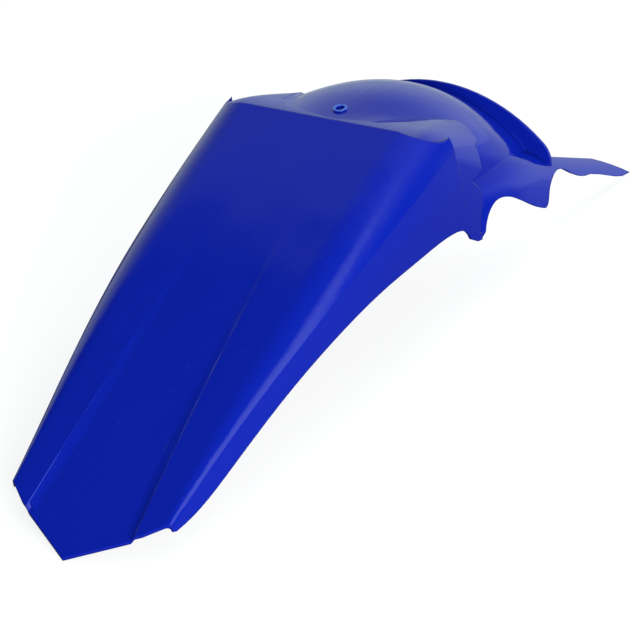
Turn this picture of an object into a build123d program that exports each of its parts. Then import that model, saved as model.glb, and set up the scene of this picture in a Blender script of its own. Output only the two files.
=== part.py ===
from build123d import *
import os
from math import asin, atan2, cos, degrees, pi, radians, sin, tan

# Rear fender: one moulded shell, lying on its tail tip and its two front prongs.
# X runs across, Y points forward along the bike, Z points up.  The shell is drawn
# with the middle of the brow crest at zero and is moved to the seat bolt at the end.

# Wall, and the number of flat facets on each hidden inner bend
wall = 2.5
inner_facets = 3

# Tail, from the brow crest back to the tip
tail_length = 360.0
tail_fall = 152.5
tail_bow = 8.0
tail_corner_half = 70.5
tail_corner_back = 320.0
chevron_half = 52.0
chevron_back = 333.5

# Recessed middle panel of the tail, tip to brow
panel_half = (47.5, 38.5, 31.5, 26.0, 22.0)
panel_depth = (2.6, 2.0, 0.4, 0.02, 0.02)
panel_slope_width = 3.0

# Hood stations, evenly spaced, from behind the tip to in front of the side walls
hood_back = -374.0
hood_pitch = 114.0

# Shoulder at each station: where it starts to roll, its crease and its fall below the deck
roll_half = (63.5, 65.5, 65.5, 65.5, 63.0)
shoulder_half = (69.5, 76.5, 91.5, 99.5, 100.5)
shoulder_fall = (3.0, 4.5, 11.5, 24.0, 37.0)

# Skirt at each station: its knee and its foot before trimming
knee_half = (70.5, 79.0, 93.0, 101.8, 102.8)
knee_height = (-176.0, -120.5, -78.0, -52.0, -58.0)
foot_half = (84.0, 92.0, 98.5, 103.0, 103.5)
foot_height = (-236.0, -188.0, -158.0, -146.0, -150.0)

# Brow, the crest between the tail and the deck in front of it
brow_half = 73.0
brow_lip_radius = 24.0

# Deck and front shoulders in front of the brow: stations, evenly spaced
deck_back = -15.0
deck_pitch = 35.0
deck_height = (-3.5, -8.0, -20.0, -33.5)
deck_roll_half = (80.0, 76.0, 62.0, 54.0)
deck_shoulder_half = (100.0, 100.0, 101.0, 101.0)
deck_shoulder_fall = (18.0, 23.0, 35.0, 39.0)

# Vault over the wheel: stations, evenly spaced, from the brow to its front edge
vault_back = -4.0
vault_front = 149.0
vault_crown_height = (-5.5, -8.7, -12.8, -26.5, -54.0)
vault_lean = (0.0, 2.0, 6.0, 10.0, 12.0)
vault_radius = (900.0, 235.0, 138.0, 118.0, 113.0)
vault_half = (56.0, 72.0, 84.0, 88.0, 88.0)
vault_haunch = 36.0

# Front rim: a shallow gutter and a crescent wall in front of the vault
gutter_depth = 4.0
rim_distance = 10.0
rim_radius = 143.0
rim_rise = 4.0
rim_half = 101.0
rim_haunch = 20.0

# Side arms and prongs: a section with a rolled side, bent over a round crest and then straight
arm_crest_forward = 85.0
arm_crest_height = -71.5
arm_bend_radius = 126.0
arm_back_turn = 26.0
arm_slope = 28.5
arm_straight = 150.0
arm_half = 102.5
arm_toe_out = 7.0
arm_overlap = 30.0
arm_roll = 32.0
arm_turn = 70.0
arm_drop = 50.0
prong_root_half = 91.0
prong_root_front = 156.0
prong_bevel_half = 98.0
prong_bevel_front = 215.0
prong_tip_half = 115.0
prong_tip_front = 245.0

# Slot in each hook
slot_width = 5.0
slot_top = (47.5, -83.5)
slot_foot = (40.5, -100.5)

# Seat bolt hole in a raised collar on the deck
bolt_forward = 28.0
bolt_hole_diameter = 6.5
bolt_collar_diameter = 11.0
bolt_collar_rise = 1.2

# Filled forms and trimming blocks, which reach past the shell on every side
arch_depth = 150.0
rim_depth = 90.0
deck_foot_height = -220.0
deck_foot_flare = 14.0
neck_overlap = 3.0
neck_inner_back = 12.0
neck_inner_length = 140.0
block_half = 160.0
block_back = -460.0
block_front = 330.0
block_low = -400.0
block_high = 180.0


def tail_height(y):
    """Height of the tail deck on the middle plane."""
    s = -y / tail_length
    return tail_fall / tail_length * y + 4 * tail_bow * s * (1 - s)


def edge(points):
    """Line through two points or curve with two end points and two handles."""
    if len(points) == 4:
        return Edge.make_bezier(*points)
    return Edge.make_line(*points)


def closed_wire(place, top, right):
    """Closed mirrored section from its top piece and the pieces of its right half."""
    foot = right[-1][-1]
    edges = [edge([place(*p) for p in top])]
    edges += [edge([place(*p) for p in piece]) for piece in right]
    edges.append(edge([place(*foot), place(-foot[0], foot[1])]))
    edges += [edge([place(-p[0], p[1]) for p in reversed(piece)]) for piece in reversed(right)]
    return Wire(edges)


def upright(y):
    """Placing of section points in the upright plane at one station."""
    return lambda x, z: Vector(x, y, z)


def leaning(y, z, tilt):
    """Placing of section points in a plane that leans back with the crown."""
    lean = radians(tilt)
    return lambda x, h: Vector(x, y + h * sin(lean), z + h * cos(lean))


def arc(middle, radius, first, last):
    """Round arc between two turns, measured from upright, as two ends and two handles."""
    handle = 4 / 3 * tan((last - first) / 4) * radius
    start = (middle[0] + radius * sin(first), middle[1] + radius * cos(first))
    end = (middle[0] + radius * sin(last), middle[1] + radius * cos(last))
    start_handle = (start[0] + handle * cos(first), start[1] - handle * sin(first))
    end_handle = (end[0] - handle * cos(last), end[1] + handle * sin(last))
    return start, start_handle, end_handle, end


def turned(middle, radius, first, last, inset):
    """Pieces of a round turn: one curve on the outer face, flat facets on the hidden inner face."""
    if not inset:
        return [arc(middle, radius, first, last)]
    r = radius - inset
    turns = [first + (last - first) * i / inner_facets for i in range(inner_facets + 1)]
    points = [(middle[0] + r * sin(t), middle[1] + r * cos(t)) for t in turns]
    return list(zip(points, points[1:]))


def bend(start, radius, turn, inset):
    """Pieces of a round bend that leaves its start level and turns down."""
    return turned((start[0], start[1] - radius), radius, 0, turn, inset)


def rolled(roll, deck, shoulder, fall, inset):
    """Shoulder bend that starts level on the deck and ends at the shoulder crease."""
    reach = shoulder - roll
    return bend((roll, deck), (reach**2 + fall**2) / (2 * fall), 2 * atan2(fall, reach), inset)


def hood_section(y, deck, panel, depth, roll, shoulder, fall, knee, toe, inset):
    """Hood section: middle panel, its sloped side, deck, rolled shoulder and a two-part skirt."""
    low = (panel, deck - depth - inset)
    high = (panel + panel_slope_width, deck - inset)
    bends = rolled(roll, deck, shoulder, fall, inset)
    knee_in = (knee[0] - inset, knee[1])
    toe_in = (toe[0] - inset, toe[1] - 4 * inset)
    top = [(-low[0], low[1]), low]
    right = [(low, high), (high, bends[0][0]), *bends, (bends[-1][-1], knee_in), (knee_in, toe_in)]
    return closed_wire(upright(y), top, right)


def hood(inset):
    """Hood from behind the tail tip to the front of the side walls, filled."""
    sections = []
    for i in range(len(roll_half)):
        y = hood_back + i * hood_pitch
        knee = (knee_half[i], knee_height[i])
        toe = (foot_half[i], foot_height[i])
        sections.append(
            hood_section(y, tail_height(y), panel_half[i], panel_depth[i], roll_half[i], shoulder_half[i],
                         shoulder_fall[i], knee, toe, inset)
        )
    return Solid.make_loft(sections)


def deck(inset):
    """Deck and front shoulders in front of the brow, filled, standing wider than the side walls."""
    sections = []
    for i, height in enumerate(deck_height):
        bends = rolled(deck_roll_half[i], height, deck_shoulder_half[i], deck_shoulder_fall[i], inset)
        toe = (deck_shoulder_half[i] + deck_foot_flare, deck_foot_height)
        top = [(-bends[0][0][0], bends[0][0][1]), bends[0][0]]
        right = [*bends, (bends[-1][-1], toe)]
        sections.append(closed_wire(upright(deck_back + i * deck_pitch), top, right))
    return Solid.make_loft(sections)


def arch_section(place, radius, haunch, half, depth, inset):
    """Arched section: a wide crown, a tighter haunch each side of it and two upright sides."""
    turn = asin((half - haunch) / (radius - haunch))
    crown = arc((0, -radius), radius - inset, 0, turn)
    middle = ((radius - haunch) * sin(turn), (radius - haunch) * cos(turn) - radius)
    side = turned(middle, haunch, turn, pi / 2, inset)
    right = [crown, *side, (side[-1][-1], (half - inset, -depth))]
    edges = [edge([place(*p) for p in piece]) for piece in right]
    edges.append(edge([place(half - inset, -depth), place(inset - half, -depth)]))
    edges += [edge([place(-x, h) for x, h in reversed(piece)]) for piece in reversed(right)]
    return Wire(edges)


def vault(inset):
    """Vault from the brow to its front edge, filled.  The inset one stops a wall short of that edge."""
    last = len(vault_crown_height) - 1
    sections = []
    for i, crown in enumerate(vault_crown_height):
        lean = radians(vault_lean[i])
        short = inset if i == last else 0
        y = vault_back + i * (vault_front - vault_back) / last - short * cos(lean)
        z = crown + short * sin(lean)
        place = leaning(y, z, vault_lean[i])
        sections.append(arch_section(place, vault_radius[i], vault_haunch, vault_half[i], arch_depth, inset))
    return Solid.make_loft(sections)


def ahead_of_vault(ahead, below):
    """Placing of a section so far ahead of the vault's front edge and below its crown."""
    lean = radians(vault_lean[-1])
    y = vault_front + ahead * cos(lean) - below * sin(lean)
    z = vault_crown_height[-1] - ahead * sin(lean) - below * cos(lean)
    return leaning(y, z, vault_lean[-1])


def along_vault(section, length):
    """Section carried forward, square to the vault's front edge."""
    lean = radians(vault_lean[-1])
    return extrude(Face(section), length, dir=(0, cos(lean), -sin(lean)))


def neck(inset, back, length):
    """Straight arch that carries the gutter and the rim, filled."""
    place = ahead_of_vault(back, gutter_depth)
    radius = vault_radius[-1] - gutter_depth
    haunch = vault_haunch - gutter_depth
    half = vault_half[-1] - gutter_depth
    return along_vault(arch_section(place, radius, haunch, half, arch_depth, inset), length)


def rim():
    """Crescent wall standing at the front of the gutter, filled."""
    place = ahead_of_vault(rim_distance, -rim_rise)
    return along_vault(arch_section(place, rim_radius, rim_haunch, rim_half, rim_depth, 0), wall)


def arms(inset):
    """Low roof that joins both side arms and prongs, filled.  Each half toes out towards its prong."""
    turn = radians(arm_turn)
    roll = bend((arm_half - arm_roll * sin(turn), 0), arm_roll, turn, inset)
    top = roll[0][0]
    end = roll[-1][-1]
    toe = (end[0] + arm_drop * cos(turn), end[1] - arm_drop * sin(turn))
    lines = [[(-arm_overlap, top[1]), top], *roll, [end, toe], [toe, (-arm_overlap, toe[1])]]
    lines.append([(-arm_overlap, toe[1]), (-arm_overlap, top[1])])
    crest = leaning(arm_crest_forward, arm_crest_height, 0)
    pivot = Axis((0, arm_crest_forward, arm_crest_height - arm_bend_radius), (1, 0, 0))
    front = Face(Wire([edge([crest(*p) for p in line]) for line in lines])).rotate(pivot, -arm_slope)
    slope = radians(arm_slope)
    straight = extrude(front, arm_straight, dir=(0, cos(slope), -sin(slope)))
    ahead = revolve(front, pivot, arm_back_turn + arm_slope) + straight
    right = ahead.rotate(Axis((0, arm_crest_forward, 0), (0, 0, 1)), -arm_toe_out)
    return right + mirror(right, about=Plane.YZ)


def plan_block(outline):
    """Upright block over a plan outline."""
    return Pos(0, 0, block_low) * extrude(make_face(outline), block_high - block_low, dir=(0, 0, 1))


def side_block(outline):
    """Block right across the fender under a side outline, given as lengths and heights."""
    return extrude(Plane.YZ * make_face(outline), block_half, both=True)


def ahead_of_brow(back):
    """Everything in front of the brow crest, whose edge curls forward at both ends."""
    half = brow_half
    lip = brow_lip_radius
    side = half + lip
    right = CenterArc((half, lip - back), lip, -90, 90)
    left = CenterArc((-half, lip - back), lip, 180, 90)
    outline = [
        Line((-half, -back), (half, -back)),
        right,
        Polyline((side, lip - back), (block_half, lip - back), (block_half, block_front),
                 (-block_half, block_front), (-block_half, lip - back), (-side, lip - back)),
        left,
    ]
    return plan_block(Curve() + outline)


def behind_horns(back):
    """Everything behind the front edge of the hood, which ends in a horn on each side."""
    right = [(0, 10), (40, 18), (56, 33), (69, 75), (76, 78), (90, 70), (103, 56), (block_half, 56)]
    left = [(-x, y) for x, y in reversed(right[1:])]
    front = [(x, y - back) for x, y in left + right]
    return plan_block(Polyline(*front, (block_half, block_back), (-block_half, block_back), close=True))


def tail_end():
    """Everything behind the chevron end of the tail."""
    right = [(0, -tail_length), (chevron_half, -chevron_back), (tail_corner_half, -tail_corner_back)]
    right.append((block_half, -250))
    left = [(-x, y) for x, y in reversed(right[1:])]
    behind = [(block_half, block_back), (-block_half, block_back)]
    return plan_block(Polyline(*right, *behind, *left, close=True))


def hood_front(back):
    """Everything ahead of the front edge of the hood's side walls, with a notch over each hook."""
    edge_points = [(60, -40), (54, -56), (40, -57.5), (49, -69), (48, -77), (41, -104), (41, block_low)]
    ahead = [(block_front, block_low), (block_front, -40)]
    return Pos(0, -back, 0) * side_block(Polyline(*edge_points, *ahead, close=True))


def between_prongs():
    """Everything ahead of the rim between the two prongs, and ahead of their slanted ends."""
    right = [(0, 168), (60, 163), (prong_root_half, prong_root_front), (prong_bevel_half, prong_bevel_front),
             (prong_tip_half, prong_tip_front), (block_half, block_front)]
    left = [(-x, y) for x, y in reversed(right[1:])]
    return plan_block(Polyline(*right, *left, close=True))


def below_edge():
    """Everything below the free lower edge of skirts, hooks, arms and prongs."""
    prong = Polyline((-325, -140.5), (block_back, -220), (block_back, block_low), (block_front, block_low),
                     (block_front, -190), (244, -157), (229.5, -152.7), (220, -148), (203, -137.5),
                     (190.5, -130.7), (182.5, -128), (176, -124.8), (169.5, -119.6), (164.5, -114))
    front = Spline((164.5, -114), (154, -108.4), (142, -107.9), (132, -111.6), (121.5, -120), (117.5, -120.6))
    arm = Spline((117.5, -120.6), (106, -112.8), (86, -95.3), (71, -90.3), (63, -92.3), (54.5, -98),
                 (48.5, -105))
    hook = Polyline((48.5, -105), (43, -107.5), (35, -105.5), (27, -99.5), (25, -94.5))
    skirt = Spline((25, -94.5), (20, -88.5), (3, -82), (-34, -79.3), (-87, -79.5), (-137, -86),
                   (-202, -102.7), (-265, -125.8), (-300, -137.3), (-325, -140.5))
    return side_block(Curve() + [prong, front, arm, hook, skirt])


def hook_slot():
    """Upright slot through the wall of each hook."""
    middle = ((slot_top[0] + slot_foot[0]) / 2, (slot_top[1] + slot_foot[1]) / 2)
    rise = (slot_top[0] - slot_foot[0], slot_top[1] - slot_foot[1])
    slot = Rectangle((rise[0] ** 2 + rise[1] ** 2) ** 0.5, slot_width)
    placed = Pos(*middle) * Rot(0, 0, degrees(atan2(rise[1], rise[0]))) * slot
    return extrude(Plane.YZ * placed, block_half, both=True)


def bolt_place(shell):
    """Place on the deck where the seat bolt goes through."""
    hits = shell.find_intersection_points(Axis((0, bolt_forward, block_high), (0, 0, -1)))
    deck_point = max((hit[0] for hit in hits), key=lambda point: point.Z)
    return Pos(0, bolt_forward, deck_point.Z)


os.makedirs("parts", exist_ok=True)

hood_outer = (hood(0) - (ahead_of_brow(0) - deck(0)) - hood_front(0)) & behind_horns(0)
hood_inner = (hood(wall) - (ahead_of_brow(wall) - deck(wall)) - hood_front(wall)) & behind_horns(wall)
neck_outer = neck(0, -neck_overlap, neck_overlap + rim_distance + wall)
outer = hood_outer + vault(0) + neck_outer + rim() + arms(0)
inner = hood_inner + vault(wall) + neck(wall, -neck_inner_back, neck_inner_length) + arms(wall)
shell = outer - inner
fender = shell - tail_end() - below_edge() - between_prongs() - hook_slot()

# Seat bolt: an upright hole through a collar, with the origin on top of the collar
seat = bolt_place(fender)
collar = Pos(0, 0, -wall / 2) * extrude(Circle(bolt_collar_diameter / 2), wall / 2 + bolt_collar_rise)
fender = fender + seat * collar - seat * Cylinder(bolt_hole_diameter / 2, 8 * wall)
fender = (seat * Pos(0, 0, bolt_collar_rise)).inverse() * fender
export_step(fender, "parts/rear_fender.step")
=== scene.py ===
from math import cos, radians, sin

import bpy
from mathutils import Matrix, Vector


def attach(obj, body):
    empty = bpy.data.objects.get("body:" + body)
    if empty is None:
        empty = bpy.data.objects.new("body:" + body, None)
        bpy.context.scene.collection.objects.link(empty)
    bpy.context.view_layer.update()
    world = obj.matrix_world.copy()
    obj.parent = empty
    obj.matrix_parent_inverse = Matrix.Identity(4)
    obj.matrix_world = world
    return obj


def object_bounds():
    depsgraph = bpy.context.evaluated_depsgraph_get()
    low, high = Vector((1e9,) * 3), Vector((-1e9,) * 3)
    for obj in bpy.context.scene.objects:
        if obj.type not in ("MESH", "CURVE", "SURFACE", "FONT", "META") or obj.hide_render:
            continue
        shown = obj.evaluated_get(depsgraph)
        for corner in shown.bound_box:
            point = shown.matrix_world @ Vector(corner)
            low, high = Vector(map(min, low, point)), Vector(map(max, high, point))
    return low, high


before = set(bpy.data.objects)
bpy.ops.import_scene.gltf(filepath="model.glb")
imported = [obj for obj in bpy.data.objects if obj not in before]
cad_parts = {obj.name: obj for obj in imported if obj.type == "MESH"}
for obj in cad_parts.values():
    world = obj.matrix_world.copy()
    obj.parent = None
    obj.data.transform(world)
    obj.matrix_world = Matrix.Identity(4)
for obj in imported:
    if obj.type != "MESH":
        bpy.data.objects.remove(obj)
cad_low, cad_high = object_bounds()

# Rear fender: one injection moulding, tail, skirts, deck, vault, rim, arms and prongs in one shell.
# It is made of polypropylene, coloured blue through and through, straight from a polished mould,
# so it is glossy, with faint flow marks, a light orange peel and a little dust from handling.
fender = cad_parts["rear_fender"]


class Value:
    """A shader socket.  Operators on values add Math nodes to the same tree."""

    def __init__(self, tree, socket):
        self.tree = tree
        self.socket = socket

    def node(self, kind, settings=None, sockets=None, out=0):
        """Any other node: its settings are set first, then the values or links of its sockets."""
        made = self.tree.nodes.new(kind)
        for name, setting in (settings or {}).items():
            setattr(made, name, setting)
        for name, given in (sockets or {}).items():
            if isinstance(given, Value):
                self.tree.links.new(given.socket, made.inputs[name])
            else:
                made.inputs[name].default_value = given
        return Value(self.tree, made.outputs[out])

    def maths(self, operation, first, second):
        return self.node("ShaderNodeMath", {"operation": operation}, {0: first, 1: second})

    def __add__(self, other):
        return self.maths("ADD", self, other)

    def __radd__(self, other):
        return self.maths("ADD", other, self)

    def __sub__(self, other):
        return self.maths("SUBTRACT", self, other)

    def __rsub__(self, other):
        return self.maths("SUBTRACT", other, self)

    def __mul__(self, other):
        return self.maths("MULTIPLY", self, other)

    def __rmul__(self, other):
        return self.maths("MULTIPLY", other, self)

    def __gt__(self, other):
        return self.maths("GREATER_THAN", self, other)

    def __lt__(self, other):
        return self.maths("LESS_THAN", self, other)


def mixed(first, second, factor):
    """A colour between two colours."""
    return factor.node("ShaderNodeMix", {"data_type": "RGBA"}, {6: first, 7: second, 0: factor}, 2)


blue = (0.0034, 0.0145, 0.36, 1)
deep_blue = (0.0030, 0.0125, 0.325, 1)
dust_grey = (0.20, 0.25, 0.42, 1)
plastic_ior = 1.49
mould_polish = 0.08
edge_radius = 0.0012
grain_scale = 420
grain_size = 0.13
grain_rarity = 0.985

plastic = bpy.data.materials.new("blue_plastic")
plastic.use_nodes = True
tree = plastic.node_tree
gloss = tree.nodes["Principled BSDF"]
gloss.inputs["IOR"].default_value = plastic_ior
place = Value(tree, tree.nodes.new("ShaderNodeTexCoord").outputs["Object"])
drawn_out = place.node("ShaderNodeMapping", None, {"Vector": place, "Scale": (1, 0.25, 1)})
flow = place.node("ShaderNodeTexNoise", None, {"Vector": drawn_out, "Scale": 14, "Detail": 3})
wiping = place.node("ShaderNodeTexNoise", None,
                    {"Vector": drawn_out, "Scale": 60, "Detail": 5, "Distortion": 0.6})
peel = place.node("ShaderNodeTexNoise", None, {"Vector": place, "Scale": 260, "Detail": 1})
sink = place.node("ShaderNodeTexNoise", None, {"Vector": place, "Scale": 11, "Detail": 1})
grain = place.node("ShaderNodeTexVoronoi", None, {"Vector": place, "Scale": grain_scale})
grain_middle = place.node("ShaderNodeTexVoronoi", None, {"Vector": place, "Scale": grain_scale}, "Position")
pick = place.node("ShaderNodeTexWhiteNoise", None, {"Vector": grain_middle})
dust = (grain < grain_size) * (pick > grain_rarity)
dusty = mixed(mixed(deep_blue, blue, flow), dust_grey, dust * 0.2)
rough = mould_polish + 0.04 * wiping + 0.03 * flow + 0.2 * dust
rounded = place.node("ShaderNodeBevel", {"samples": 8}, {"Radius": edge_radius})
wavy = place.node("ShaderNodeBump", None,
                  {"Strength": 1, "Distance": 0.002, "Height": sink, "Normal": rounded})
skin = place.node("ShaderNodeBump", None,
                  {"Strength": 0.05, "Distance": 0.0004, "Height": peel, "Normal": wavy})
tree.links.new(dusty.socket, gloss.inputs["Base Color"])
tree.links.new(rough.socket, gloss.inputs["Roughness"])
tree.links.new(skin.socket, gloss.inputs["Normal"])
fender.data.materials.clear()
fender.data.materials.append(plastic)

# Horn blends: the soft hollows in which the two horns of the hood run out into the vault.
# They are of the same blue plastic, moulded in one with the shell, and close the steps beside the horns.
# Each station has a place on the horn's edge, the way down from it and how far the blend reaches.
horn_edge = [((0.0405, -0.0095), (-0.68, 0.73), 0.0040), ((0.056, 0.005), (-0.82, 0.57), 0.0089),
             ((0.0605, 0.0195), (-0.94, 0.35), 0.0063), ((0.065, 0.034), (-0.95, 0.32), 0.0047),
             ((0.069, 0.047), (-0.93, 0.37), 0.0036)]
horn_overlap = 0.0008
blend_steps = 8
hollow_place = 0.33
hollow_height = 0.38
foot_depth = 0.0002
back_depth = 0.0008
clearance = 0.01
sharp_angle = radians(40)


def surface(point):
    """The point of the fender's upper side at a place in plan."""
    return fender.ray_cast(Vector((point.x, point.y, cad_high.z + clearance)), Vector((0, 0, -1)))[1]


def piece(name, points, faces, material):
    """A smooth piece that is fixed to the fender and shares its slot."""
    mesh = bpy.data.meshes.new(name)
    mesh.from_pydata(points, [], faces)
    mesh.shade_smooth()
    mesh.set_sharp_from_angle(angle=sharp_angle)
    mesh.materials.append(material)
    made = bpy.data.objects.new(name, mesh)
    bpy.context.collection.objects.link(made)
    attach(made, "root")


def blend(name, side, stations, overlap, run, fade):
    """A hollow fillet from an edge down to the surface, with its back sunk into the shell.

    The flank under the edge has the given run.  The last station lies below the surface by the fade.
    """
    points = []
    for station in stations:
        (x, y), (turn_x, turn_y), reach = station
        depth = Vector((0, 0, fade if station is stations[-1] else 0))
        edge = Vector((side * x, y))
        turn = Vector((side * turn_x, turn_y))
        top = surface(edge - turn * overlap) - depth
        foot = surface(edge + turn * reach) - Vector((0, 0, foot_depth)) - depth
        hollow = Vector((*(edge + turn * hollow_place * reach), foot.z + hollow_height * (top.z - foot.z)))
        for step in range(blend_steps + 1):
            t = step / blend_steps
            points.append((1 - t) ** 2 * top + 2 * t * (1 - t) * hollow + t ** 2 * foot)
        points.append(Vector((*(edge + turn * run), min(foot.z, top.z) - back_depth)))
    row = blend_steps + 2
    last = len(points) - row
    faces = [[start + step, start + (step + 1) % row, start + row + (step + 1) % row, start + row + step]
             for start in range(0, last, row) for step in range(row)]
    faces += [list(reversed(range(row))), list(range(last, last + row))]
    if side > 0:
        faces = [list(reversed(face)) for face in faces]
    piece(name, points, faces, plastic)


blend("horn_blend_right", 1, horn_edge, horn_overlap, -horn_overlap, 0)
blend("horn_blend_left", -1, horn_edge, horn_overlap, -horn_overlap, 0)

# Panel blends: the soft slopes at both sides of the tail's recessed middle panel, of the same plastic.
# They are moulded in one with the shell, and ease its creases from the tail's end up to where they fade.
panel_edge = [((0.0471, -0.3600), (-0.867, -0.497), 0.0115), ((0.0447, -0.330), (-0.98, -0.2), 0.0102),
              ((0.0424, -0.300), (-1, 0), 0.0102), ((0.0397, -0.260), (-1, 0), 0.0102),
              ((0.0374, -0.220), (-1, 0), 0.0102), ((0.0350, -0.180), (-1, 0), 0.0102),
              ((0.0335, -0.150), (-1, 0), 0.0102)]
panel_overlap = 0.00015
panel_run = 0.003
panel_fade = 0.0004
blend("panel_blend_right", 1, panel_edge, panel_overlap, panel_run, panel_fade)
blend("panel_blend_left", -1, panel_edge, panel_overlap, panel_run, panel_fade)

# Collar lip: the rounded rim on top of the seat bolt's collar, where the bolt head sits.
# It is the same plastic, painted a paler blue as a highlight, as an oval ring sunk to its middle.
lip_radius = 0.0045
lip_half_width = 0.00105
lip_rise = 0.0006
turns, rounds = 48, 12
lip_painted_highlight = bpy.data.materials.new("highlight_painted_plastic")
lip_painted_highlight.use_nodes = True
gloss = lip_painted_highlight.node_tree.nodes["Principled BSDF"]
# The paler blue is a painted highlight on the rounded lip, not the plastic's own colour.
gloss.inputs["Base Color"].default_value = (0.05, 0.14, 0.62, 1)
gloss.inputs["Roughness"].default_value = 0.3
gloss.inputs["IOR"].default_value = plastic_ior
points = []
for i in range(turns):
    for j in range(rounds):
        out = lip_radius + lip_half_width * cos(radians(360 * j / rounds))
        points.append((out * cos(radians(360 * i / turns)), out * sin(radians(360 * i / turns)),
                       lip_rise * sin(radians(360 * j / rounds))))
faces = [(i * rounds + j, (i + 1) % turns * rounds + j, (i + 1) % turns * rounds + (j + 1) % rounds,
          i * rounds + (j + 1) % rounds) for i in range(turns) for j in range(rounds)]
piece("collar_lip", points, faces, lip_painted_highlight)

# Floor: white paper under the fender, which keeps its shadow.  Seen directly it glows up to white.
# In the plastic it shows as bright cool paper ahead of the fender and as dim paper elsewhere.
# From below it is clear, so that the underside can be looked at.
floor_level = cad_low.z
floor_half = 3.0
floor_glow = 0.8
white = (1, 1, 1, 1)
cool = (0.86, 1, 1.04, 1)
paper_lit = (0.27, 0.27, 0.27, 1)
paper_dim = (0.13, 0.13, 0.13, 1)
glow_ahead = (0.05, 0.45, 0, 0.5)
glow_right = (-0.15, 0.25, 1, 0)
sheet = bpy.data.meshes.new("floor")
sheet.from_pydata([(-floor_half, -floor_half, floor_level), (floor_half, -floor_half, floor_level),
                   (floor_half, floor_half, floor_level), (-floor_half, floor_half, floor_level)],
                  [], [(0, 1, 2, 3)])
floor = bpy.data.objects.new("floor", sheet)
bpy.context.collection.objects.link(floor)
paper = bpy.data.materials.new("paper")
paper.use_nodes = True
tree = paper.node_tree
tree.nodes.remove(tree.nodes["Principled BSDF"])


def along(vector, axis):
    """One coordinate of a vector."""
    return vector.node("ShaderNodeSeparateXYZ", None, {"Vector": vector}, axis)


def ramp(given, start, end, first, last):
    """A smooth change from first to last while the given value goes from start to end."""
    return given.node("ShaderNodeMapRange", {"interpolation_type": "SMOOTHSTEP"},
                      {"Value": given, "From Min": start, "From Max": end, "To Min": first, "To Max": last})


def rays(tree):
    """Two values: 1 for a ray that sees directly, and 1 for a ray that the plastic mirrors."""
    path = tree.nodes.new("ShaderNodeLightPath")
    return (Value(tree, path.outputs["Is Camera Ray"]) + Value(tree, path.outputs["Is Transmission Ray"]),
            Value(tree, path.outputs["Is Glossy Ray"]))


spot = Value(tree, tree.nodes.new("ShaderNodeTexCoord").outputs["Object"])
across = along(spot, "X")
ahead = along(spot, "Y")
bright = ramp(ahead, *glow_ahead) * ramp(across - ahead, *glow_right)
seen, mirrored = rays(tree)
lit = seen.node("ShaderNodeBsdfDiffuse", None, {"Color": mixed(paper_lit, paper_dim, mirrored)})
glow = seen.node("ShaderNodeEmission", None, {"Color": mixed(white, cool, mirrored),
                                              "Strength": floor_glow * seen + bright * mirrored})
both = seen.node("ShaderNodeAddShader", None, {0: lit, 1: glow})
clear = seen.node("ShaderNodeBsdfTransparent")
below = Value(tree, tree.nodes.new("ShaderNodeNewGeometry").outputs["Backfacing"])
shown = seen.node("ShaderNodeMixShader", None, {0: below, 1: both, 2: clear})
tree.links.new(shown.socket, tree.nodes["Material Output"].inputs["Surface"])
sheet.materials.append(paper)

# Room: white where it is seen directly.  In the plastic a bright wall ahead of the prongs, fading upwards,
# shows as the sheen on the deck.  A window on the right and a light overhead show as soft streaks on the
# right shoulder and side, and the rest only fills the shadows.
room_fill = 0.3
wall_start = (0.12, 0.22, 0, 1)
wall_height = (0.1, 0.75, 0.72, 0.25)
wall_gain = (-0.4, 0.5, 1, 1.45)
wall_end = (0.6, 0.85, 1, 0)
window_toward = (0.75, -0.6, 0.27)
window_edge = (0.88, 0.97, 0, 1.1)
overhead_toward = (0.59, -0.1, 0.8)
overhead_edge = (0.93, 0.995, 0, 1.5)
world = bpy.data.worlds.new("room")
bpy.context.scene.world = world
world.use_nodes = True
tree = world.node_tree
toward = Value(tree, tree.nodes.new("ShaderNodeTexCoord").outputs["Generated"])
across = along(toward, "X")
ahead = along(toward, "Y")
upward = along(toward, "Z")


def facing(direction):
    """How squarely a ray goes in a direction."""
    x, y, z = direction
    return x * across + y * ahead + z * upward


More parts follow.
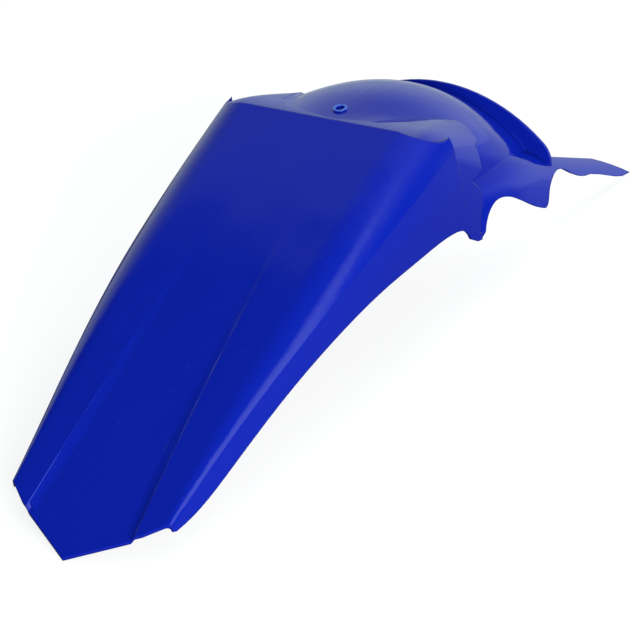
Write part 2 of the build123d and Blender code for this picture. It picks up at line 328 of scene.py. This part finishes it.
wall = (ramp(ahead, *wall_start) * ramp(upward, *wall_height)
        * ramp(across, *wall_gain) * ramp(across, *wall_end))
window = ramp(facing(window_toward), *window_edge)
overhead = ramp(facing(overhead_toward), *overhead_edge)
seen, mirrored = rays(tree)
strength = seen + (1 - seen) * (wall + (window + overhead) * mirrored + room_fill * (1 - mirrored))
tree.links.new(mixed(cool, white, seen).socket, tree.nodes["Background"].inputs["Color"])
tree.links.new(strength.socket, tree.nodes["Background"].inputs["Strength"])

# Lamps: a large soft box low on the right, behind the fender, and a weaker one ahead of it.
# They only light; what the plastic mirrors in their place is the room's wall, window and overhead light.
middle = Vector((0, -0.02, -0.06))


def soft_box(name, place, size, watts):
    """A square area lamp that faces the fender."""
    lamp = bpy.data.lights.new(name, "AREA")
    lamp.size = size
    lamp.energy = watts
    made = bpy.data.objects.new(name, lamp)
    made.location = place
    made.rotation_euler = (middle - Vector(place)).to_track_quat("-Z", "Y").to_euler()
    made.visible_glossy = False
    bpy.context.collection.objects.link(made)


soft_box("right_soft_box", place=(1.8, -1.4, 0.65), size=1.3, watts=68)
soft_box("front_soft_box", place=(0.2, 1.6, 1.2), size=1.2, watts=16)

# Camera: a long lens behind, to the right of and above the fender, turned a little on its axis.
# Its place was recovered from features of the shell that mirror each other.
azimuth = radians(37.98)
elevation = radians(31.35)
roll = radians(-9.11)
distance = 2.205
aim = Vector((0.0298, -0.1025, -0.1190))
back = Vector((sin(azimuth) * cos(elevation), -cos(azimuth) * cos(elevation), sin(elevation)))
level = Vector((cos(azimuth), sin(azimuth), 0))
sideways = level * cos(roll) + back.cross(level) * sin(roll)
camera = bpy.data.objects.new("camera", bpy.data.cameras.new("camera"))
camera.data.lens = 168.75
camera.data.sensor_width = 36
camera.matrix_world = Matrix.Translation(aim + back * distance) @ Matrix(
    (sideways, back.cross(sideways), back)).transposed().to_4x4()
bpy.context.collection.objects.link(camera)
bpy.context.scene.camera = camera
bpy.context.scene.view_settings.view_transform = "Standard"
